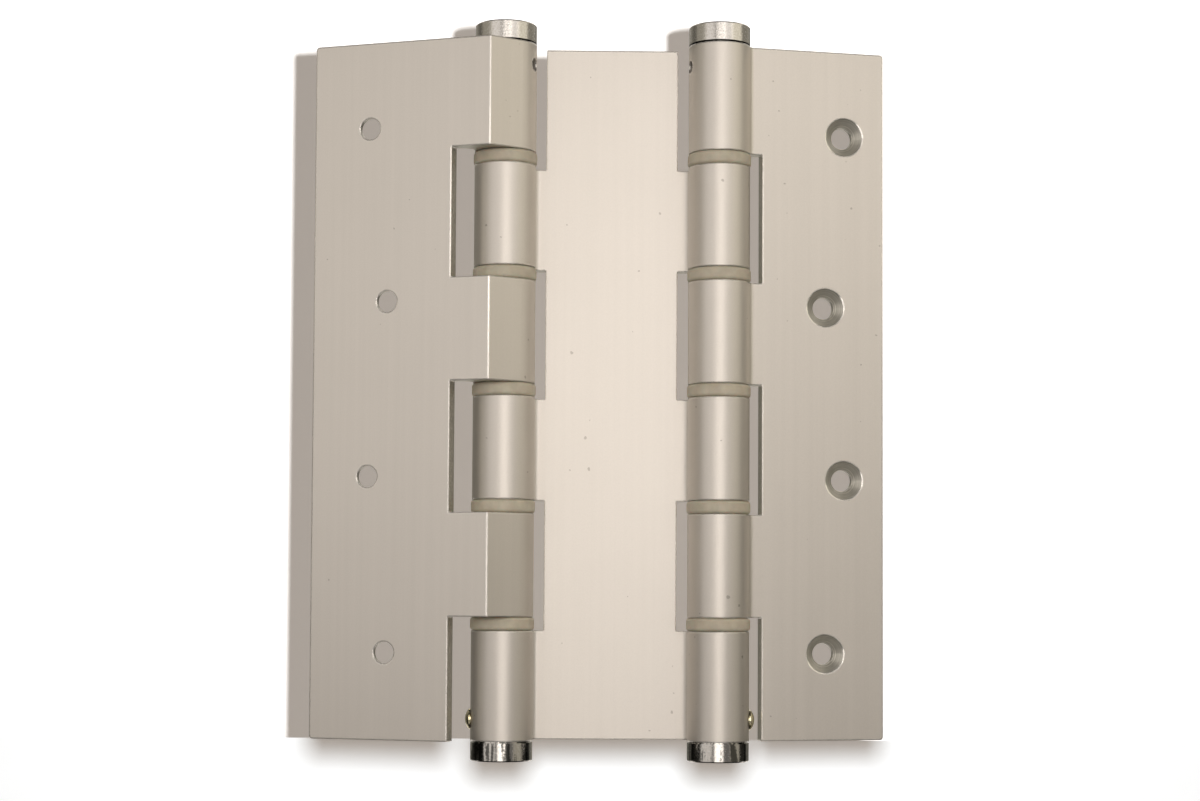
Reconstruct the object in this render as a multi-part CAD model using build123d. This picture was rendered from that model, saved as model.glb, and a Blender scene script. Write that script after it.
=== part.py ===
from build123d import *
from math import acos, atan2, cos, hypot, pi, sin, sqrt
import os

# Double action spring hinge, in millimetres, +Z up, standing as it is fixed.
# Origin: middle of the jamb leaf's screw field, on the plain face that lies on the jamb.
# X runs from the jamb leaf's outer edge towards the barrels, Y from the plain face
# into the hinge.

# Leaves and barrels.
leaf_height = 180.0
leaf_thickness = 3.5
barrel_radius = 8.0
barrel_spacing = 55.6
bore_radius = 6.0
corner_radius = 0.8

# Knuckles: six a barrel, with a bush between each two.
knuckle_count = 6
end_knuckle = 28.1
bush_gap = 3.55
mid_knuckle = (leaf_height - 2 * end_knuckle - (knuckle_count - 1) * bush_gap) / (knuckle_count - 2)
centre_knuckles = (0, 2, 4)
outer_knuckles = (1, 3, 5)

# Jamb leaf: cranked over its barrel.
jamb_plain_offset = 12.6
jamb_corner_x = -0.5
jamb_edge = 48.2
jamb_notch = 10.0
jamb_row_near = 27.6
jamb_row_far = 32.7
jamb_root_fillet = 3.0

# Door leaf: flush with its barrel.
door_sunk_offset = 2.4
door_edge = 44.0
door_notch = 11.0
door_row_near = 28.2
door_row_far = 33.3

# Centre leaf: tangent to the backs of both barrels.
centre_notch = 10.6
root_fillet = 1.4

# Angles at rest, past the straight line.
jamb_droop = 19.3
door_droop = 12.3

# Screw holes.
screw_count = 4
screw_pitch = 45.1
screw_hole_radius = 2.8
sink_radius = 5.05
sink_depth = sink_radius - screw_hole_radius

# Fits.
running_clearance = 0.05
spring_hole_clearance = 0.1

# Bushes.
bush_flange_radius = 8.25
bush_rim_fillet = 0.9
bush_spigot_length = 5.0
bush_bore_radius = 5.2

# Torsion springs.
wire_radius = 1.0
coil_radius = 3.9
coil_turns = 18
tail_length = 4.0

# Adjusters and end plugs.
cap_radius = 7.95
cap_height = 4.75
cap_edge_chamfer = 0.3
neck_radius = 7.3
neck_height = 0.4
plug_radius = bore_radius - running_clearance
adjuster_shank = 14.0
end_plug_shank = 12.0
bar_hole_radius = 1.7
bar_hole_count = 4
bar_hole_floor = 2.65
bar_hole_inset = 5.5

# Lock pins.
pin_radius = bar_hole_radius - running_clearance
pin_tip = 2.9
pin_head_radius = 2.6
pin_head_rise = 1.35
pin_head_rim = 0.35


def knuckle_span(index):
    """Bottom and top of one knuckle, counted from the bottom of the barrel."""
    ends = (0, knuckle_count - 1)
    bottom = 0.0 if index == 0 else end_knuckle + bush_gap + (index - 1) * (mid_knuckle + bush_gap)
    return bottom, bottom + (end_knuckle if index in ends else mid_knuckle)


def on_circle(radius, angle):
    return (radius * cos(angle), radius * sin(angle))


def rectangle(x_low, y_low, x_high, y_high):
    size = (x_high - x_low, y_high - y_low)
    return Pos(x_low, y_low) * Rectangle(*size, align=(Align.MIN, Align.MIN))


def root(face_y, radius, side):
    """Fillet between the barrel and the leaf face at y = face_y; side is where the air is."""
    centre_y = face_y + side * radius
    centre_x = sqrt((barrel_radius + radius) ** 2 - centre_y**2)
    touch = on_circle(barrel_radius, atan2(centre_y, centre_x))
    inner_x = sqrt(max(barrel_radius**2 - face_y**2, 0))
    outline = [touch, (centre_x, centre_y), (centre_x, face_y), (inner_x, face_y)]
    if inner_x == 0:
        outline.append((0, 0))
    web = make_face(Polyline(*outline, close=True))
    return web - Pos(centre_x, centre_y) * Circle(radius)


def jamb_profile():
    """Plate over the barrel, with a flat flank from its corner tangent to the barrel."""
    face_y = jamb_plain_offset - leaf_thickness
    corner = (jamb_corner_x, jamb_plain_offset)
    reach = acos(barrel_radius / hypot(*corner))
    tangent = on_circle(barrel_radius, atan2(corner[1], corner[0]) + reach)
    plate = rectangle(0, face_y, jamb_edge, jamb_plain_offset)
    flank = make_face(Polyline((0, 0), (0, jamb_plain_offset), corner, tangent, close=True))
    return Circle(barrel_radius) + plate + flank + root(face_y, jamb_root_fillet, -1)


def door_profile():
    plain_y = leaf_thickness - door_sunk_offset
    plate = rectangle(0, -door_sunk_offset, door_edge, plain_y)
    return Circle(barrel_radius) + plate + root(-door_sunk_offset, root_fillet, -1) + root(plain_y, root_fillet, 1)


def centre_profile():
    front_y = barrel_radius - leaf_thickness
    half = Circle(barrel_radius) + rectangle(0, front_y, barrel_spacing / 2, barrel_radius)
    half += root(front_y, root_fillet, -1)
    return half + mirror(half, Plane.YZ.offset(barrel_spacing / 2))


def notches(own_knuckles, notch):
    """Room for the other leaf's knuckles and the bushes beside them."""
    room = Part()
    far = barrel_radius + bush_gap
    for index in range(knuckle_count):
        if index not in own_knuckles:
            bottom, top = knuckle_span(index)
            height = top - bottom + 2 * bush_gap
            slot = extrude(rectangle(-far, -2 * far, notch, 2 * far), height)
            room += Pos(0, 0, bottom - bush_gap) * slot
    return room


def barrel_bore(radius=bore_radius):
    return Cylinder(radius, leaf_height, align=(Align.CENTER, Align.CENTER, Align.MIN))


def radial_hole(radius, start, end, height, angle):
    """Round hole square to the barrel, from start to end along the given direction."""
    drill = Cylinder(radius, end - start, align=(Align.CENTER, Align.CENTER, Align.MIN))
    return Pos(0, 0, height) * Rot(0, 0, angle) * Pos(start, 0, 0) * Rot(0, 90, 0) * drill


def screw_holes(rows, sunk_y):
    """Countersunk holes, in turn in the two rows, from the sunk face towards +Y."""
    holes = Part()
    middle = (Align.CENTER, Align.CENTER, Align.MIN)
    tool = Cylinder(screw_hole_radius, leaf_thickness, align=middle)
    tool += Cone(sink_radius, screw_hole_radius, sink_depth, align=middle)
    for index in range(screw_count):
        height = leaf_height / 2 + (index - (screw_count - 1) / 2) * screw_pitch
        place = Location((rows[index % 2], sunk_y, height), (-90, 0, 0))
        holes += place * tool
    return holes


def rounded_corners(edge):
    """What corner_radius takes off the two outer corners of a leaf, seen along Y."""
    inner = edge - corner_radius
    low = rectangle(inner, 0, edge, corner_radius) - Pos(inner, corner_radius) * Circle(corner_radius)
    waste = extrude(Plane.XZ * low, 2 * jamb_plain_offset, both=True)
    return waste + mirror(waste, Plane.XY.offset(leaf_height / 2))


def outer_leaf(profile, edge, notch, rows, sunk_y):
    leaf = extrude(profile, leaf_height) - rounded_corners(edge)
    leaf -= notches(outer_knuckles, notch)
    leaf -= barrel_bore()
    leaf -= screw_holes(rows, sunk_y)
    top_hole = leaf_height - bar_hole_inset
    return leaf - radial_hole(bar_hole_radius, 0, 2 * barrel_radius, top_hole, 180)


def jamb_leaf():
    sunk_y = jamb_plain_offset - leaf_thickness
    rows = (jamb_row_near, jamb_row_far)
    return outer_leaf(jamb_profile(), jamb_edge, jamb_notch, rows, sunk_y)


def door_leaf():
    rows = (door_row_near, door_row_far)
    return outer_leaf(door_profile(), door_edge, door_notch, rows, -door_sunk_offset)


def centre_leaf():
    far_barrel = Location((barrel_spacing, 0, 0), (0, 0, 180))
    room = notches(centre_knuckles, centre_notch)
    leaf = extrude(centre_profile(), leaf_height)
    leaf -= room + far_barrel * room
    pin_hole = radial_hole(bar_hole_radius, 0, 2 * barrel_radius, bar_hole_inset, 180)
    inside = barrel_bore() + pin_hole
    return leaf - inside - far_barrel * inside


def turned(*outline):
    return revolve(Plane.XZ * make_face(Polyline(*outline, close=True)), Axis.Z)


def capped_plug(shank):
    """Cap above z = 0 on a thin neck, shank below."""
    cap_base = neck_height
    cap_top = neck_height + cap_height
    chamfered = cap_radius - cap_edge_chamfer
    return turned(
        (0, -shank),
        (plug_radius, -shank),
        (plug_radius, 0),
        (neck_radius, 0),
        (neck_radius, cap_base),
        (cap_radius, cap_base),
        (cap_radius, cap_top - cap_edge_chamfer),
        (chamfered, cap_top),
        (0, cap_top),
    )


def tail_hole(tail_angle, shank):
    """Axial hole in the shank's end for the straight tail of the spring."""
    depth = tail_length + spring_hole_clearance
    drill = Cylinder(wire_radius + spring_hole_clearance, depth, align=(Align.CENTER, Align.CENTER, Align.MIN))
    return Rot(0, 0, tail_angle) * Pos(coil_radius, 0, -shank) * drill


def adjuster(tail_angle):
    plug = capped_plug(adjuster_shank) - tail_hole(tail_angle, adjuster_shank)
    for index in range(bar_hole_count):
        turn = 180 + index * 360 / bar_hole_count
        plug -= radial_hole(bar_hole_radius, bar_hole_floor, barrel_radius, -bar_hole_inset, turn)
    return Pos(0, 0, leaf_height) * plug


def end_plug(pin_angle):
    """The same plug upside down; the pin hole faces pin_angle, the spring tail angle 0."""
    plug = Rot(180, 0, 0) * (capped_plug(end_plug_shank) - tail_hole(0, end_plug_shank))
    floor = pin_tip - spring_hole_clearance
    return plug - radial_hole(bar_hole_radius, floor, barrel_radius, bar_hole_inset, pin_angle)


def lock_pin(pin_angle):
    """Shank in the knuckle and plug, domed head resting on the barrel."""
    rim_top = barrel_radius + pin_head_rim
    head_top = barrel_radius + pin_head_rise
    dome = head_top - rim_top
    dome_radius = (pin_head_radius**2 + dome**2) / (2 * dome)
    half_way = pin_head_radius / 2
    half_rise = sqrt(dome_radius**2 - half_way**2) - (dome_radius - dome)
    crown = ThreePointArc((pin_head_radius, rim_top), (half_way, rim_top + half_rise), (0, head_top))
    side = Polyline(
        (0, head_top),
        (0, pin_tip),
        (pin_radius, pin_tip),
        (pin_radius, barrel_radius),
        (pin_head_radius, barrel_radius),
        (pin_head_radius, rim_top),
    )
    pin = revolve(Plane.XZ * make_face(crown + side), Axis.Z)
    return Pos(0, 0, bar_hole_inset) * Rot(0, 0, pin_angle) * Rot(0, 90, 0) * pin


def bush(index):
    """Flange between knuckles index and index + 1, with a spigot in each bore."""
    middle = knuckle_span(index)[1] + bush_gap / 2
    flange_height = bush_gap - 2 * running_clearance
    rim = rectangle(bush_bore_radius, -flange_height / 2, bush_flange_radius, flange_height / 2)
    rim = fillet(rim.vertices().sort_by(Axis.X)[-2:], bush_rim_fillet)
    reach = flange_height / 2 + bush_spigot_length
    sleeve = rectangle(bush_bore_radius, -reach, bore_radius - running_clearance, reach)
    return Pos(0, 0, middle) * revolve(Plane.XZ * (rim + sleeve), Axis.Z)


def spring():
    """Round wire coil between the two plugs, with a straight axial tail at each end."""
    lift = wire_radius + spring_hole_clearance
    bottom = end_plug_shank + lift
    height = leaf_height - adjuster_shank - lift - bottom
    path = Helix(height / coil_turns, height, coil_radius)
    section = Plane(origin=path @ 0, z_dir=path % 0) * Circle(wire_radius)
    coil = sweep(section, path, is_frenet=True)
    tail = Cylinder(wire_radius, tail_length, align=(Align.CENTER, Align.CENTER, Align.MIN))
    for height_here, turn in ((0, 180), (height, 0)):
        bend = Pos(coil_radius, 0, height_here)
        coil += bend * (Sphere(wire_radius) + Rot(turn, 0, 0) * tail)
    return Pos(0, 0, bottom) * coil


# Where each barrel stands in the hinge's own frame.
field_middle = (jamb_row_near + jamb_row_far) / 2
jamb_barrel = Location((field_middle, jamb_plain_offset, -leaf_height / 2))
jamb_place = jamb_barrel * Location((0, 0, 0), (0, 0, 180))
centre_place = jamb_barrel * Location((0, 0, 0), (0, 0, jamb_droop))
far_place = centre_place * Location((barrel_spacing, 0, 0))
door_place = far_place * Location((0, 0, 0), (0, 0, door_droop))

nodes = {
    "jamb_leaf": jamb_place * jamb_leaf(),
    "centre_leaf": centre_place * centre_leaf(),
    "door_leaf": door_place * door_leaf(),
    "jamb_adjuster": jamb_place * adjuster(jamb_droop - 180),
    "door_adjuster": door_place * adjuster(-door_droop),
    "jamb_end_plug": centre_place * end_plug(180),
    "door_end_plug": far_place * end_plug(0),
    "jamb_lock_pin": centre_place * lock_pin(180),
    "door_lock_pin": far_place * lock_pin(0),
    "jamb_spring": centre_place * spring(),
    "door_spring": far_place * spring(),
}
for index in range(knuckle_count - 1):
    nodes[f"jamb_bush_{index + 1}"] = centre_place * bush(index)
    nodes[f"door_bush_{index + 1}"] = far_place * bush(index)

os.makedirs("parts", exist_ok=True)
for name, solid in nodes.items():
    export_step(solid, f"parts/{name}.step")
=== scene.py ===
from math import cos, pi, radians, sin
from typing import NamedTuple

import bpy
from mathutils import Matrix, Vector

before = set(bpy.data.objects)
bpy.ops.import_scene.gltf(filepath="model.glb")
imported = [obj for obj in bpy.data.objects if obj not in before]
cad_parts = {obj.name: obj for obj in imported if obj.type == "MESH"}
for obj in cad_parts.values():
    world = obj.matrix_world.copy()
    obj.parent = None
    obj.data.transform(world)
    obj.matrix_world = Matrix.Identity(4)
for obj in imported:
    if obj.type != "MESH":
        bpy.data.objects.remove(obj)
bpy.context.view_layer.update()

MM = 0.001
RIGHT, BACK, UP = (1, 0, 0), (0, 1, 0), (0, 0, 1)


class Socket:
    """A node's output. Arithmetic on it adds Math nodes."""

    def __init__(self, finish, output):
        self.finish, self.output = finish, output

    def maths(self, operation, first, second):
        return self.finish.node("Math", {"operation": operation}, {0: first, 1: second})

    def __add__(self, other):
        return self.maths("ADD", self, other)

    def __sub__(self, other):
        return self.maths("SUBTRACT", self, other)

    def __rsub__(self, other):
        return self.maths("SUBTRACT", other, self)

    def __mul__(self, other):
        return self.maths("MULTIPLY", self, other)

    def __gt__(self, other):
        return self.maths("GREATER_THAN", self, other)

    def __lt__(self, other):
        return self.maths("LESS_THAN", self, other)

    __radd__ = __add__
    __rmul__ = __mul__


class Shader:
    """A node tree, and one way to add a node to it."""

    def __init__(self, tree):
        self.tree = tree

    def node(self, kind, settings=None, sockets=None, output=0):
        made = self.tree.nodes.new("ShaderNode" + kind)
        for name, value in (settings or {}).items():
            if name == "stops":
                points = made.color_ramp.elements
                while len(points) < len(value):
                    points.new(0.5)
                for point, (position, colour) in zip(points, value):
                    point.position, point.color = position, (*colour, 1)
            else:
                setattr(made, name, value)
        for name, value in (sockets or {}).items():
            self.join(made.inputs[name], value)
        return Socket(self, made.outputs[output])

    def join(self, socket, value):
        if isinstance(value, Socket):
            self.tree.links.new(value.output, socket)
        else:
            socket.default_value = value

    def most(self, first, second):
        return self.node("Math", {"operation": "MAXIMUM"}, {0: first, 1: second})

    def least(self, first, second):
        return self.node("Math", {"operation": "MINIMUM"}, {0: first, 1: second})

    def size(self, value):
        return self.node("Math", {"operation": "ABSOLUTE"}, {0: value})

    def dot(self, first, second):
        return self.node("VectorMath", {"operation": "DOT_PRODUCT"}, {0: first, 1: second}, output="Value")

    def seen_from(self, axis, turn, point):
        """The point in a frame that stands on an upright axis and is turned about it."""
        back = Matrix.Rotation(-radians(turn), 3, "Z")
        place = {"Location": -(back @ Vector((*axis, 0))), "Rotation": (0, 0, -radians(turn))}
        return self.node("Mapping", {"vector_type": "POINT"}, {"Vector": point, **place})

    def ramp(self, factor, *stops):
        return self.node("ValToRGB", {"stops": stops}, {"Fac": factor})

    def spread(self, value, low, high, to_low=0.0, to_high=1.0):
        """Value from low..high to to_low..to_high, held at the ends."""
        sockets = {"Value": value, 1: low, 2: high, 3: to_low, 4: to_high}
        return self.node("MapRange", {"clamp": True}, sockets)

    def blend(self, factor, first, second):
        colours = [c if isinstance(c, Socket) else (*c, 1) for c in (first, second)]
        return self.node("Mix", {"data_type": "RGBA"}, {0: factor, 6: colours[0], 7: colours[1]}, output=2)


class Finish(Shader):
    """A material and the nodes that make its finish."""

    def __init__(self, name, **constants):
        self.material = bpy.data.materials.new(name)
        self.material.use_nodes = True
        super().__init__(self.material.node_tree)
        self.surface = self.tree.nodes["Principled BSDF"]
        self.give(**constants)

    def give(self, **sockets):
        """Sets or links sockets of the surface shader, such as Base_Color."""
        for name, value in sockets.items():
            self.join(self.surface.inputs[name.replace("_", " ")], value)

    def point(self):
        return self.node("TexCoord", output="Object")

    def faces(self, direction):
        """One where the surface looks along the direction or against it, nought square to it."""
        return self.size(self.dot(self.node("TexCoord", output="Normal"), direction))

    def noise(self, scale, stretch=(1, 1, 1), detail=2.0, rough=0.5):
        """Grain of the given scale per metre, drawn out along the axes with a small stretch."""
        vector = self.node("Mapping", sockets={"Vector": self.point(), "Scale": stretch})
        sockets = {"Vector": vector, "Scale": scale, "Detail": detail, "Roughness": rough}
        return self.node("TexNoise", sockets=sockets)

    def edges(self, radius):
        """The normal rounded over at sharp edges, and one along them and nought on flat faces."""
        rounded = self.node("Bevel", {"samples": 4}, {"Radius": radius})
        face = self.node("NewGeometry", output="Normal")
        still_flat, well_round = 0.9995, 0.965
        return rounded, self.spread(self.dot(rounded, face), still_flat, well_round)

    def bump(self, height, distance, normal=None, strength=1.0):
        sockets = {"Height": height, "Distance": distance, "Strength": strength}
        if normal:
            sockets["Normal"] = normal
        return self.node("Bump", sockets=sockets)


class Leaf(NamedTuple):
    """Where a leaf stands: its barrel's axis and the turn of its plate in degrees, then its notch
    walls and its two rows of screws, both measured along the plate from that axis."""

    barrel: tuple
    turn: float
    notch_walls: tuple
    screw_rows: tuple = ()


JAMB_BARREL, DOOR_BARREL = (30.15 * MM, 12.6 * MM), (82.6253 * MM, 30.9766 * MM)
LEAVES = {
    "jamb_leaf": Leaf(JAMB_BARREL, 180.0, (10.0 * MM,), (27.6 * MM, 32.7 * MM)),
    "centre_leaf": Leaf(JAMB_BARREL, 19.3, (10.6 * MM, 45.0 * MM)),
    "door_leaf": Leaf(DOOR_BARREL, 31.6, (11.0 * MM,), (28.2 * MM, 33.3 * MM)),
}
SCREW_PITCH = 45.1 * MM
SCREW_HEIGHTS = [(index - 1.5) * SCREW_PITCH for index in range(4)]
SINK_RADIUS = 5.05 * MM
# Where the painted shadow in the gap under the top caps lies: its middle height and half its height.
NECK_MIDDLE, NECK_HALF_HEIGHT = 90.2 * MM, 0.2 * MM

# How near to a face a point still counts as on it, and how square to a direction a face is.
WALL_SLACK, SINK_SLACK, NECK_SLACK = 0.15 * MM, 0.1 * MM, 0.06 * MM
SQUARE, TILTED = 0.9, 0.97


def countersinks(metal, lie, across, screw_rows):
    """One inside the countersinks, and the rings that the tool leaves there."""
    flat = metal.node("VectorMath", {"operation": "MULTIPLY"}, {0: lie, 1: (1, 0, 1)})
    from_hole = 1.0
    for index, height in enumerate(SCREW_HEIGHTS):
        middle = (screw_rows[index % 2], 0, height)
        reach = metal.node("VectorMath", {"operation": "DISTANCE"}, {0: flat, 1: middle}, output="Value")
        from_hole = metal.least(from_hole, reach)
    rings = metal.node("TexNoise", {"noise_dimensions": "1D"}, {"W": from_hole, "Scale": 4600, "Detail": 2})
    sunk = (from_hole < SINK_RADIUS + SINK_SLACK) * (metal.faces(across) < TILTED)
    return sunk, rings


def drawn_aluminium(name):
    """Satin anodised extrusion: die lines along its length, a fine etched grain and a few dark
    specks. What was machined, the knuckle ends, notch walls and countersinks, is plainer and
    greyer, with the rings of the countersink tool, and darker too as a painted shade. Sharp
    edges carry a painted highlight, near white."""
    leaf = LEAVES[name]
    metal = Finish("satin_" + name, Metallic=0.9)
    die_lines = metal.noise(420, stretch=(1, 1, 0.012), detail=3, rough=0.6)
    broad_lines = metal.noise(90, stretch=(1, 1, 0.02))
    grain = metal.noise(2600, detail=3, rough=0.7)
    cloud = metal.noise(28)
    tone = 0.4 * die_lines + 0.12 * broad_lines + 0.5 * grain + 0.2 * cloud - 0.11
    colour = metal.ramp(tone, (0.25, (0.74, 0.705, 0.655)), (0.75, (0.84, 0.80, 0.75)))
    specks = metal.noise(520, detail=1) > 0.79
    colour = metal.blend(0.4 * specks, colour, (0.2, 0.17, 0.14))

    angle = radians(leaf.turn)
    along, across = (cos(angle), sin(angle), 0), (-sin(angle), cos(angle), 0)
    lie = metal.seen_from(leaf.barrel, leaf.turn, metal.point())
    machined = metal.faces(UP) > SQUARE
    cut_across = metal.faces(along) > SQUARE
    for wall in leaf.notch_walls:
        near = metal.size(metal.dot(lie, RIGHT) - wall) < WALL_SLACK
        machined = metal.most(machined, near * cut_across)
    marks = grain
    if leaf.screw_rows:
        sunk, rings = countersinks(metal, lie, across, leaf.screw_rows)
        machined = metal.most(machined, sunk)
        marks = grain + sunk * (rings - grain)
    # Machined faces: a greyer finish of their own, and also darker, which is painted shade in these
    # recesses and between the parts.
    machined_and_shaded_colour = metal.ramp(marks, (0.35, (0.50, 0.49, 0.44)), (0.65, (0.78, 0.76, 0.70)))
    colour = metal.blend(machined, colour, machined_and_shaded_colour)

    rounded, edge_and_highlight = metal.edges(0.6 * MM)
    # Along sharp edges the base colour goes near white, a painted highlight, beside the rounded normal and
    # lower roughness there.
    metal.give(
        Base_Color=metal.blend(0.9 * edge_and_highlight, colour, (1.0, 0.98, 0.95)),
        Roughness=(0.36 + 0.16 * grain + 0.06 * die_lines) * (1 - 0.7 * edge_and_highlight),
        Normal=metal.bump(0.5 * die_lines + 0.5 * marks, 0.02 * MM, rounded, 0.45),
    )
    return metal.material


def natural_nylon():
    """Cream, slightly see-through plastic with a soft mottle."""
    nylon = Finish("natural_nylon", Subsurface_Weight=0.2, Subsurface_Scale=0.002, IOR=1.52)
    mottle = nylon.noise(350, detail=3)
    tone = nylon.ramp(mottle, (0.3, (0.60, 0.545, 0.43)), (0.7, (0.73, 0.67, 0.54)))
    nylon.give(Base_Color=tone, Roughness=0.38 + 0.15 * mottle, Normal=nylon.bump(mottle, 0.03 * MM))
    return nylon.material


def plated_steel(name, sheen, painted_reflection):
    """Turned and plated steel: nearly a mirror, with turning lines, scuffs, upright dark patches
    painted on as reflections of a dark room, and a painted shadow at the neck."""
    plate = Finish(name, Metallic=1.0)
    turning = plate.noise(60, stretch=(0.4, 0.4, 40), rough=0.6)
    scuffs = plate.noise(1700, detail=4, rough=0.75)
    marks = scuffs > 0.64
    colour = plate.ramp(scuffs, (0.3, (0.60, 0.58, 0.55)), (0.7, (0.74, 0.725, 0.70)))
    colour = plate.blend(0.5 * marks, colour, (0.34, 0.32, 0.29))
    # Painted reflection: upright dark streaks, as if dark surroundings were mirrored in the plate.
    patches = plate.noise(420, stretch=(1, 1, 0.1), rough=0.6)
    dark_reflection = plate.spread(patches + 0.3 * scuffs, 0.62, 0.68)
    colour = plate.blend(painted_reflection * dark_reflection, colour, (0.06, 0.06, 0.055))
    # Painted shadow: a near black band at the neck height, in the gap under the top caps.
    height = plate.dot(plate.point(), UP)
    neck_shadow = plate.size(height - NECK_MIDDLE) < NECK_HALF_HEIGHT + NECK_SLACK
    plate.give(
        Base_Color=plate.blend(neck_shadow, colour, (0.02, 0.02, 0.02)),
        Roughness=sheen + 0.08 * turning + 0.25 * marks,
        Normal=plate.bump(0.3 * turning + 0.7 * scuffs, 0.05 * MM, strength=0.7),
    )
    return plate.material


def yellow_passivate():
    """Yellow passivated steel of the lock pins."""
    pin = Finish("yellow_passivate", Metallic=1.0)
    film = pin.noise(700, detail=3)
    colour = pin.ramp(film, (0.35, (0.70, 0.62, 0.38)), (0.65, (0.92, 0.88, 0.68)))
    pin.give(Base_Color=colour, Roughness=0.16 + 0.12 * film, Normal=pin.bump(film, 0.03 * MM))
    return pin.material


def oiled_wire():
    """Dark oiled spring wire."""
    wire = Finish("oiled_wire", Metallic=1.0)
    film = wire.noise(500, detail=3)
    colour = wire.ramp(film, (0.35, (0.10, 0.10, 0.11)), (0.65, (0.24, 0.23, 0.23)))
    wire.give(Base_Color=colour, Roughness=0.28 + 0.2 * film, Normal=wire.bump(film, 0.05 * MM))
    return wire.material


def paint(material, *names):
    for name in names:
        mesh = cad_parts[name].data
        mesh.materials.clear()
        mesh.materials.append(material)


for leaf_name in LEAVES:
    paint(drawn_aluminium(leaf_name), leaf_name)
paint(plated_steel("worn_plate", 0.17, 0.0), "jamb_adjuster", "door_adjuster")
paint(plated_steel("bright_plate", 0.09, 0.9), "jamb_end_plug", "door_end_plug")
paint(yellow_passivate(), "jamb_lock_pin", "door_lock_pin")
paint(oiled_wire(), "jamb_spring", "door_spring")
paint(natural_nylon(), *(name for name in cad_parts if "bush" in name))


# The view of the photograph: turned to the right of the jamb leaf and level with its lower half.
VIEW_TURN, VIEW_RISE, VIEW_ROLL = 18.29, -2.865, 0.303
VIEW_SPOT = Vector((0.2457, -0.5557, -0.0535))
VIEW_LENS, VIEW_SENSOR = 70.71, 36
VIEW_SHIFT = (-0.0043, 0.0665)

turned = Matrix.Rotation(radians(VIEW_TURN), 4, "Z")
camera = bpy.data.objects.new("camera", bpy.data.cameras.new("camera"))
bpy.context.collection.objects.link(camera)
facing = Matrix.Rotation(radians(90 - VIEW_RISE), 4, "X") @ Matrix.Rotation(radians(VIEW_ROLL), 4, "Z")
camera.matrix_world = Matrix.Translation(VIEW_SPOT) @ turned @ facing
camera.data.lens, camera.data.sensor_width = VIEW_LENS, VIEW_SENSOR
camera.data.shift_x, camera.data.shift_y = VIEW_SHIFT
bpy.context.scene.camera = camera


# Paper floor below the hinge, and paper wall just far enough behind it for every leaf to swing.
# Below the hinge the wall goes on as a sheet of its own, as its shadow there is softer.
FLOOR_HEIGHT = -0.15
FLOOR_SIZE = 6.0
FLOOR_BACK = 0.5
WALL_DISTANCE = 0.16
WALL_SIZE = 4.0
WALL_FOOT = -0.0990

# What still comes back from the paper in a shadow: a painted glow all over it.
FLOOR_SHADE, WALL_SHADE = (0.5, 0.49, 0.48), (0.36, 0.32, 0.285)


def studio_paper(name, shade):
    """Matt white paper with a faint fibre, glowing all over with one shade, a painted glow that sets the
    tone of its shadows; not seen from behind.
    """
    paper = Finish(name, Roughness=0.9, Emission_Color=(*shade, 1), Emission_Strength=1.0)
    front = Socket(paper, paper.surface.outputs["BSDF"])
    clear = paper.node("BsdfTransparent", output="BSDF")
    back = paper.node("NewGeometry", output="Backfacing")
    one_sided = paper.node("MixShader", sockets={0: back, 1: front, 2: clear})
    paper.join(paper.tree.nodes["Material Output"].inputs["Surface"], one_sided)
    fibre = paper.noise(40, detail=3)
    paper.give(Base_Color=paper.ramp(fibre, (0.3, (0.86, 0.85, 0.84)), (0.7, (0.90, 0.89, 0.88))))
    return paper.material


def paper_sheet(name, width, height, place, paper):
    """A sheet centred on its place, lying in its XY plane."""
    x, y = width / 2, height / 2
    mesh = bpy.data.meshes.new(name)
    mesh.from_pydata([(-x, -y, 0), (x, -y, 0), (x, y, 0), (-x, y, 0)], [], [(0, 1, 2, 3)])
    mesh.materials.append(paper)
    sheet = bpy.data.objects.new(name, mesh)
    bpy.context.collection.objects.link(sheet)
    sheet.matrix_world = place
    sheet.visible_diffuse = sheet.visible_glossy = sheet.visible_shadow = False
    return sheet


def on_wall(height):
    """An upright place on the wall, its middle at the height."""
    return turned @ Matrix.Translation((0, WALL_DISTANCE, height)) @ Matrix.Rotation(radians(90), 4, "X")


floor_place = turned @ Matrix.Translation((0, FLOOR_BACK - FLOOR_SIZE / 2, FLOOR_HEIGHT))
wall_place = on_wall(WALL_FOOT + WALL_SIZE / 2)
low_wall_place = on_wall(WALL_FOOT - WALL_SIZE / 4)
floor_paper, wall_paper = studio_paper("floor_paper", FLOOR_SHADE), studio_paper("wall_paper", WALL_SHADE)
floor = paper_sheet("floor", FLOOR_SIZE, FLOOR_SIZE, floor_place, floor_paper)
wall = paper_sheet("wall", WALL_SIZE, WALL_SIZE, wall_place, wall_paper)
low_wall = paper_sheet("low_wall", WALL_SIZE, WALL_SIZE / 2, low_wall_place, wall_paper)


def lit_things(name, *things):
    """A group of things for a lamp to light, and nothing else."""
    group = bpy.data.collections.new(name)
    for thing in things:
        group.objects.link(thing)
    return group


lit_by_room = lit_things("lit_by_room", floor, *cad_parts.values())
lit_by_torch = lit_things("lit_by_torch", wall)
lit_by_low_torch = lit_things("lit_by_low_torch", low_wall)


def lamp(name, width, height, power, colour, place, lights, shape="RECTANGLE"):
    data = bpy.data.lights.new(name, "AREA")
    data.shape, data.size, data.size_y = shape, width, height
    data.energy, data.color = power, colour
    made = bpy.data.objects.new(name, data)
    bpy.context.collection.objects.link(made)
    made.matrix_world = place
    made.visible_camera = False
    made.light_linking.receiver_collection = lights


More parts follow.
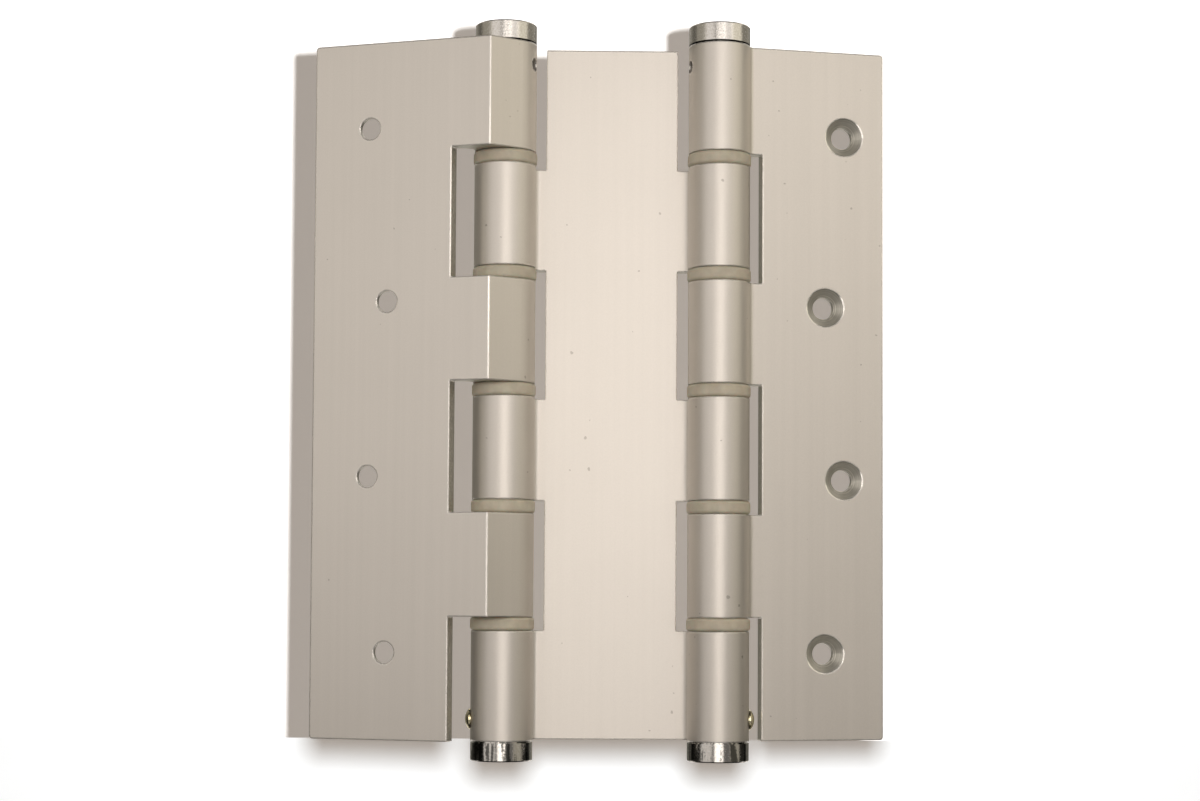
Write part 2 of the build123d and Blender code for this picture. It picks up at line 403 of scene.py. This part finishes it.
# Soft boxes round the hinge as the camera sees it: degrees to the right and up, width and glow.
BOX_DISTANCE, BOX_HEIGHT = 0.9, 0.5
WARM_WHITE, WARM_SIDE = (1.0, 0.935, 0.875), (1.0, 0.92, 0.76)
SOFT_BOXES = {
    "left_low": (-42, 0, 0.80, 0.71, WARM_WHITE),
    "left_high": (-34, 22, 0.60, 0.78, WARM_WHITE),
    "far_left_high": (-76, 22, 0.75, 0.35, WARM_SIDE),
    "side_left_high": (-125, 22, 0.85, 0.13, WARM_SIDE),
    "middle_low": (6, 0, 0.50, 1.98, WARM_WHITE),
    "middle_high": (8, 22, 0.50, 0.92, WARM_WHITE),
    "right_low": (35, 0, 0.50, 0.15, WARM_WHITE),
    "right_high": (35, 22, 0.50, 0.98, WARM_WHITE),
    "far_right_low": (67, 0, 0.58, 0.37, WARM_SIDE),
    "far_right_high": (67, 22, 0.60, 0.82, WARM_SIDE),
    "side_right_high": (108, 22, 0.85, 0.26, WARM_SIDE),
    "front_below": (10, -45, 0.90, 0.36, WARM_WHITE),
    "behind_below": (180, -34, 1.20, 0.80, WARM_WHITE),
    "behind_above": (170, 38, 1.20, 0.80, WARM_WHITE),
}
for name, (right, up, width, glow, colour) in SOFT_BOXES.items():
    level = cos(radians(up))
    way = Vector((sin(radians(right)) * level, -cos(radians(right)) * level, sin(radians(up))))
    spot = turned @ (BOX_DISTANCE * way)
    place = Matrix.Translation(spot) @ spot.to_track_quat("Z", "Y").to_matrix().to_4x4()
    lamp(name, width, BOX_HEIGHT, pi * width * BOX_HEIGHT * glow, colour, place, lit_by_room)

# Small lamps beside the camera throw the hinge's soft edged shadow on the wall behind it: how far
# to the right of the camera and above it, and how wide, in millimetres, then power and colour.
TORCHES = {
    "torch": (30.0, 8.0, 10.0, 8.8, (1, 1, 1), lit_by_torch),
    "low_torch": (3.3, 22.7, 43.0, 5.4, (0.87, 0.94, 1), lit_by_low_torch),
}
for name, (right, up, size, power, colour, lights) in TORCHES.items():
    beside = camera.matrix_world @ Matrix.Translation((right * MM, up * MM, 0))
    lamp(name, size * MM, size * MM, power, colour, beside, lights, "DISK")

# The room: a white backdrop for the camera, dark in front of the hinge and dimly lit behind it.
world = bpy.data.worlds.new("room")
bpy.context.scene.world = world
world.use_nodes = True
room = Shader(world.node_tree)
way = room.seen_from((0, 0), VIEW_TURN, room.node("TexCoord", output="Generated"))
behind = room.spread(room.dot(way, BACK), 0.5, 0.95)
light = room.blend(behind, (0.02, 0.019, 0.016), (0.26, 0.247, 0.21))
seen = room.node("LightPath", output="Is Camera Ray")
backdrop = room.blend(seen, light, (1.2, 1.2, 1.2))
room.join(world.node_tree.nodes["Background"].inputs["Color"], backdrop)
bpy.context.scene.view_settings.view_transform = "Standard"
